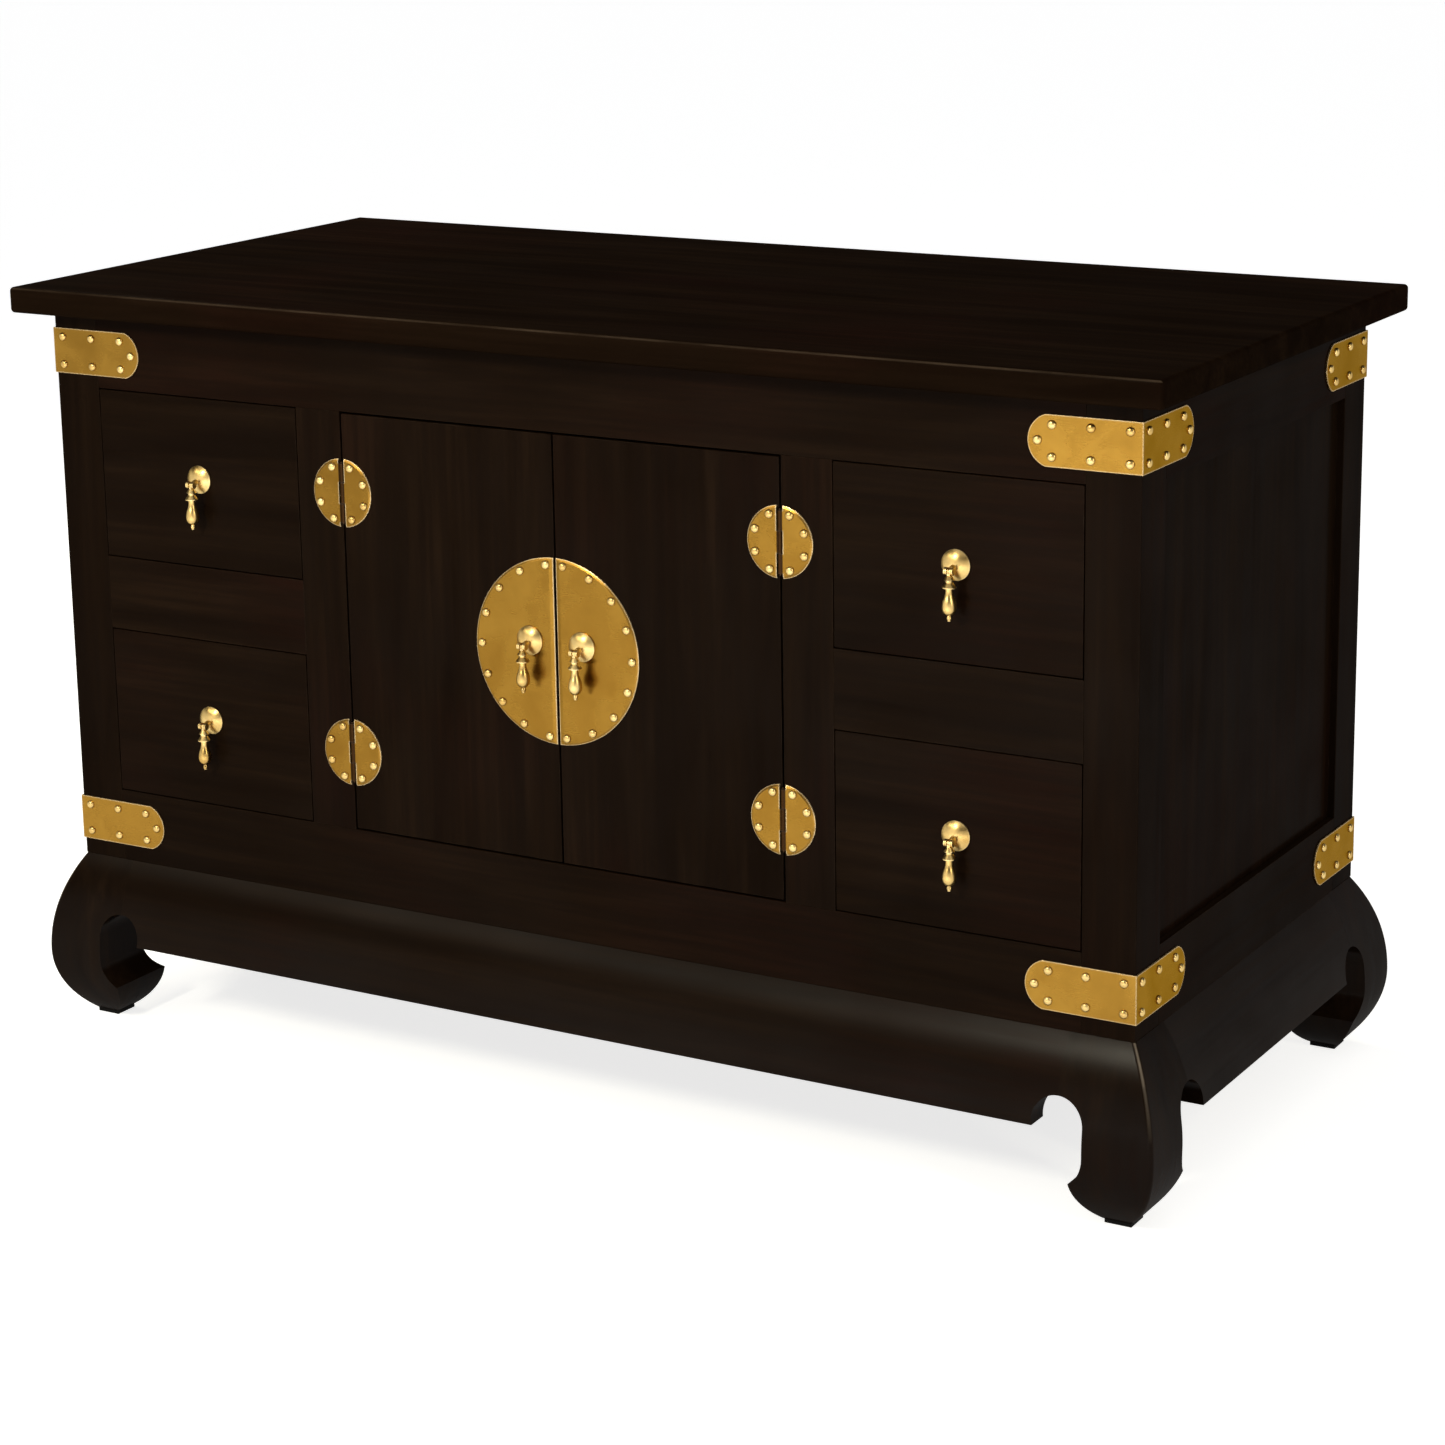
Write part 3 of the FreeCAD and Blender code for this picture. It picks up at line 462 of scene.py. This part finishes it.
def finish_base():
    """Polished legs and aprons, a painted highlight with wear from handling on the legs' upper outer
    arrises, and rubber pads under the feet.
    """
    across = wood("polish_across", "across", POLISHED)
    along = wood("polish_along", "along", POLISHED)
    up = wood("polish_up", "up", POLISHED, leg_rub_and_highlight)
    finish("side_aprons", along)
    for end in ENDS:
        finish(f"{end}_apron", across)
        for side in SIDES:
            finish(f"{end}_{side}_leg", up)
    finish("foot_pads", rubber("rubber"))


def finish_inside():
    """Stain on the pieces that the doors and the drawers' fronts hide."""
    across = wood("stain_across", "across", STAINED)
    along = wood("stain_along", "along", STAINED)
    for name in ("floor_board", "shelf", "door_stop", "drawer_stops"):
        finish(name, across, EASED_FRAME)
    for name in ("partitions", "dust_boards", "shelf_cleats", "drawer_runners"):
        finish(name, along, EASED_FRAME)
    for side in SIDES:
        for level in LEVELS:
            finish(f"{level}_{side}_drawer_box", along)


def hinge_axis():
    """How far the hinge pins' axes are from the middle plane."""
    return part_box("hinge_pins")[1].x - PIN_RADIUS


def finish_fittings():
    """Brass on the fittings. The brass of the pulls is given back, for the nails."""
    plate = brass("plate_brass", PLATE_BRASS)
    door = brass("door_brass", DOOR_BRASS)
    hinge = brass("hinge_brass", DOOR_BRASS, hinge_axis())
    bright = brass("bright_brass", BRIGHT_BRASS)
    finish("corner_brackets", plate, EASED_BRASS)
    finish("fixed_hinge_leaves", hinge)
    finish("hinge_pins", hinge)
    for side in SIDES:
        finish(f"{side}_medallion_half", door)
        finish(f"{side}_door_hinge_leaves", hinge)
        hung = [f"{side}_door"] + [f"{level}_{side}_drawer" for level in LEVELS]
        for name in hung:
            finish(f"{name}_pull_mount", bright)
            finish(f"{name}_pull_drop", bright)
    return bright


# Domed nails on the brass plates

NAIL_RADIUS = 0.0040
NAIL_HEIGHT = 0.0026
NAIL_RIM = 0.0004
NAIL_SINK = 0.0002
NAIL_SIDES = 20
NAIL_RINGS = 5
NAIL_LEAN = 0.05
NAIL_SEED = 7
MEDALLION_NAILS = 9
MEDALLION_NAIL_INSET = 0.0065
MEDALLION_FIRST_ANGLE = math.radians(6.5)
HINGE_NAILS = 4
HINGE_NAIL_INSET = 0.0062
HINGE_FIRST_ANGLE = math.radians(22.5)
BRACKET_NAIL_REACHES = (0.0115, 0.0465, 0.0815)
BRACKET_END_REACH = 0.0945
BRACKET_NAIL_RISE = 0.0135
BRACKET_WIDTH = 0.044
FRONT = Vector((0, -1, 0))

chance = random.Random(NAIL_SEED)


def nail_profile():
    """The radius and height of each ring of a head, from below its rim to beside its crown."""
    dome = NAIL_HEIGHT - NAIL_RIM
    profile = [(NAIL_RADIUS, -NAIL_SINK), (NAIL_RADIUS, NAIL_RIM)]
    for ring in range(1, NAIL_RINGS):
        angle = math.pi / 2 * ring / NAIL_RINGS
        profile.append((NAIL_RADIUS * math.cos(angle), NAIL_RIM + dome * math.sin(angle)))
    return profile


def add_nail(mesh, spot, outward):
    """One domed head, its rim on the plate at spot, turned to face outward and leaning a little."""
    lean = Vector([chance.uniform(-NAIL_LEAN, NAIL_LEAN) for _ in range(3)])
    turn = (outward + lean).to_track_quat("Z", "Y").to_matrix().to_4x4()
    place = Matrix.Translation(spot) @ turn
    angles = [2 * math.pi * side / NAIL_SIDES for side in range(NAIL_SIDES)]
    loops = []
    for radius, height in nail_profile():
        points = [Vector((radius * math.cos(a), radius * math.sin(a), height)) for a in angles]
        loops.append([mesh.verts.new(place @ point) for point in points])
    base, *_, last = loops
    for low, high in zip(loops, loops[1:]):
        for side in range(NAIL_SIDES):
            after = (side + 1) % NAIL_SIDES
            mesh.faces.new((low[side], low[after], high[after], high[side]))
    crown = mesh.verts.new(place @ Vector((0, 0, NAIL_HEIGHT)))
    for side in range(NAIL_SIDES):
        mesh.faces.new((last[side], last[(side + 1) % NAIL_SIDES], crown))
    mesh.faces.new(reversed(base))


def nail_piece(name, body, spots, material):
    """One piece with a nail at each spot, riding on a body. All faces but the flat bases are smooth."""
    mesh = bmesh.new()
    for spot, outward in spots:
        add_nail(mesh, spot, outward)
    data = bpy.data.meshes.new(name)
    mesh.to_mesh(data)
    mesh.free()
    data.polygons.foreach_set("use_smooth", [len(face.vertices) < NAIL_SIDES for face in data.polygons])
    data.materials.append(material)
    piece = bpy.data.objects.new(name, data)
    scene.collection.objects.link(piece)
    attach(piece, body)


def half_ring(centre, radius, sign, first, count):
    """Nails along one half of a round plate, from beside its split at the top to beside it below."""
    spots = []
    for number in range(count):
        angle = first + (math.pi - 2 * first) * number / (count - 1)
        offset = Vector((sign * radius * math.sin(angle), 0, radius * math.cos(angle)))
        spots.append((centre + offset, FRONT))
    return spots


def nail_doors(material):
    for side, sign in SIDES.items():
        low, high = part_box(f"{side}_medallion_half")
        centre = Vector((0, low.y, (low.z + high.z) / 2))
        radius = (high.z - low.z) / 2 - MEDALLION_NAIL_INSET
        spots = half_ring(centre, radius, sign, MEDALLION_FIRST_ANGLE, MEDALLION_NAILS)
        nail_piece(f"{side}_medallion_nails", f"{side}_door", spots, material)


def hinge_centres(side):
    """Where each hinge of one door has its middle, on the face of its plates, and the plates' radius."""
    across = hinge_axis()
    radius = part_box("fixed_hinge_leaves")[1].x - across
    low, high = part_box(f"{side}_door_hinge_leaves")
    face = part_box("left_medallion_half")[0].y
    heights = (low.z + radius, high.z - radius)
    return [Vector((SIDES[side] * across, face, height)) for height in heights], radius


def nail_hinges(material):
    fixed_spots = []
    for side, sign in SIDES.items():
        centres, plate_radius = hinge_centres(side)
        radius = plate_radius - HINGE_NAIL_INSET
        door_spots = []
        for centre in centres:
            fixed_spots += half_ring(centre, radius, sign, HINGE_FIRST_ANGLE, HINGE_NAILS)
            door_spots += half_ring(centre, radius, -sign, HINGE_FIRST_ANGLE, HINGE_NAILS)
        nail_piece(f"{side}_door_hinge_nails", f"{side}_door", door_spots, material)
    nail_piece("fixed_hinge_nails", "cabinet", fixed_spots, material)


def bracket_leg(corner, towards, outward):
    """Three pairs of nails along one leg of a bracket, and one in its rounded end."""
    spots = [(corner + towards * BRACKET_END_REACH, outward)]
    for reach in BRACKET_NAIL_REACHES:
        for rise in (-BRACKET_NAIL_RISE, BRACKET_NAIL_RISE):
            spots.append((corner + towards * reach + Vector((0, 0, rise)), outward))
    return spots


def nail_brackets(material):
    low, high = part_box("corner_brackets")
    spots = []
    for height in (low.z + BRACKET_WIDTH / 2, high.z - BRACKET_WIDTH / 2):
        for across in (low.x, high.x):
            for along in (low.y, high.y):
                corner = Vector((across, along, height))
                outward_across = Vector((math.copysign(1, across), 0, 0))
                outward_along = Vector((0, math.copysign(1, along), 0))
                spots += bracket_leg(corner, -outward_across, outward_along)
                spots += bracket_leg(corner, -outward_along, outward_across)
    nail_piece("bracket_nails", "cabinet", spots, material)


# Floor

FLOOR_RADIUS = 90.0
FLOOR_SIDES = 64
FLOOR_COLOUR = (0.75, 0.75, 0.75)
FLOOR_GLOW = 0.78


def make_floor():
    """A wide pale floor that shows as white to the eye and in reflections, and keeps shadows."""
    mesh = bmesh.new()
    bmesh.ops.create_circle(mesh, cap_ends=True, segments=FLOOR_SIDES, radius=FLOOR_RADIUS)
    data = bpy.data.meshes.new("floor")
    mesh.to_mesh(data)
    mesh.free()
    floor = bpy.data.objects.new("floor", data)
    scene.collection.objects.link(floor)
    g = Finish("floor")
    g.set(Base_Color=FLOOR_COLOUR, Roughness=1.0, Specular_IOR_Level=0.0)
    g.set(Emission_Color=WHITE, Emission_Strength=g.math("MULTIPLY", g.seen(), FLOOR_GLOW))
    data.materials.append(g.material)


# Lights

AIM = Vector((0, 0, 0.35))
WORLD_LIGHT = (0.035, 0.036, 0.038)
HORIZON_RISE = (0.18, 0.30)
CEILING_STRENGTH = 0.8
CEILING_ANGLE = math.radians(85)
CEILING_AZIMUTH = 20
CEILING_ELEVATION = 75
CEILING_DISTANCE = 3.0
POOL_SPOT = Vector((0.5, -2.8, 3.0))
POOL_POWER = 1100.0
POOL_CONE = math.radians(80)
POOL_SOFT_SHARE = 1.0
LAMP_COLOUR = (1.0, 0.94, 0.76)
SOFTBOXES = {
    "card": {
        "power": 3.0, "width": 2.2, "height": 0.9,
        "azimuth": -22, "elevation": 5, "distance": 3.0,
    },
    "shoulder": {
        "power": 13.0, "width": 2.0, "height": 0.4,
        "azimuth": -32, "elevation": 27, "distance": 2.8,
    },
    "accent": {
        "power": 24.0, "width": 0.2, "height": 0.45,
        "azimuth": -10, "elevation": 31, "distance": 2.8,
    },
    "rear": {
        "power": 30.0, "width": 0.55, "height": 0.8,
        "azimuth": 236, "elevation": 32, "distance": 3.2,
    },
    "side": {
        "power": 18.0, "width": 0.12, "height": 1.2,
        "azimuth": 68, "elevation": 24, "distance": 3.0,
    },
}


def make_world():
    """Weak light from all round, white near the horizon to the eye and in reflections, as the floor is."""
    world = bpy.data.worlds.new("studio")
    world.use_nodes = True
    g = Graph(world.node_tree)
    towards = g.add("ShaderNodeTexCoord").outputs["Generated"]
    horizon = g.spread(g.parts(towards)["Z"], *HORIZON_RISE, 1.0, 0.0)
    colour = g.blend(g.math("MULTIPLY", g.seen(), horizon), WORLD_LIGHT, WHITE)
    g.feed(world.node_tree.nodes["Background"].inputs["Color"], colour)
    scene.world = world


def direction(azimuth, elevation):
    """From the cabinet towards a place, with azimuth zero in front and turning to the right."""
    turn = math.radians(azimuth)
    climb = math.radians(elevation)
    reach = math.cos(climb)
    return Vector((math.sin(turn) * reach, -math.cos(turn) * reach, math.sin(climb)))


def add_lamp(name, data, towards, distance):
    lamp = bpy.data.objects.new(name, data)
    lamp.location = AIM + towards * distance
    lamp.rotation_euler = towards.to_track_quat("Z", "Y").to_euler()
    scene.collection.objects.link(lamp)


def add_softbox(name, power, width, height, azimuth, elevation, distance):
    data = bpy.data.lights.new(name, "AREA")
    data.shape = "RECTANGLE"
    data.color = LAMP_COLOUR
    data.energy = power
    data.size = width
    data.size_y = height
    add_lamp(name, data, direction(azimuth, elevation), distance)


def light_floor():
    """A soft pool of light on the floor in front, which the brass and the lacquer reflect."""
    data = bpy.data.lights.new("pool", "SPOT")
    data.energy = POOL_POWER
    data.spot_size = POOL_CONE
    data.spot_blend = POOL_SOFT_SHARE
    lamp = bpy.data.objects.new("pool", data)
    lamp.location = POOL_SPOT
    scene.collection.objects.link(lamp)


def light_scene():
    ceiling = bpy.data.lights.new("ceiling", "SUN")
    ceiling.energy = CEILING_STRENGTH
    ceiling.angle = CEILING_ANGLE
    add_lamp("ceiling", ceiling, direction(CEILING_AZIMUTH, CEILING_ELEVATION), CEILING_DISTANCE)
    for name, settings in SOFTBOXES.items():
        add_softbox(name, **settings)
    light_floor()


# Camera, as it was fitted to the photograph

PHOTO_SIZE = 1445
SENSOR = 36.0
FOCAL_PIXELS = 3513.6
CENTRE_ROW = 600.0
CAMERA_AZIMUTH = 30.60
CAMERA_ELEVATION = 13.56
CAMERA_ROLL = math.radians(-0.905)
CAMERA_DISTANCE = 3.4077
CAMERA_SIDE = 0.01863
CAMERA_RISE = 0.08211
QUARTER_TURN = 90


def make_camera():
    data = bpy.data.cameras.new("camera")
    data.sensor_width = SENSOR
    data.lens = FOCAL_PIXELS / PHOTO_SIZE * SENSOR
    data.shift_y = (CENTRE_ROW - PHOTO_SIZE / 2) / PHOTO_SIZE
    back = direction(CAMERA_AZIMUTH, CAMERA_ELEVATION)
    level = direction(CAMERA_AZIMUTH + QUARTER_TURN, 0)
    upright = back.cross(level)
    right = level * math.cos(CAMERA_ROLL) + upright * math.sin(CAMERA_ROLL)
    up = upright * math.cos(CAMERA_ROLL) - level * math.sin(CAMERA_ROLL)
    turn = Matrix((right, up, back)).transposed()
    spot = AIM + back * CAMERA_DISTANCE + right * CAMERA_SIDE + up * CAMERA_RISE
    camera = bpy.data.objects.new("camera", data)
    camera.matrix_world = Matrix.Translation(spot) @ turn.to_4x4()
    scene.collection.objects.link(camera)
    scene.camera = camera


finish_frame()
finish_base()
finish_inside()
bright_brass = finish_fittings()
nail_doors(bright_brass)
nail_hinges(bright_brass)
nail_brackets(bright_brass)
make_floor()
make_world()
light_scene()
make_camera()
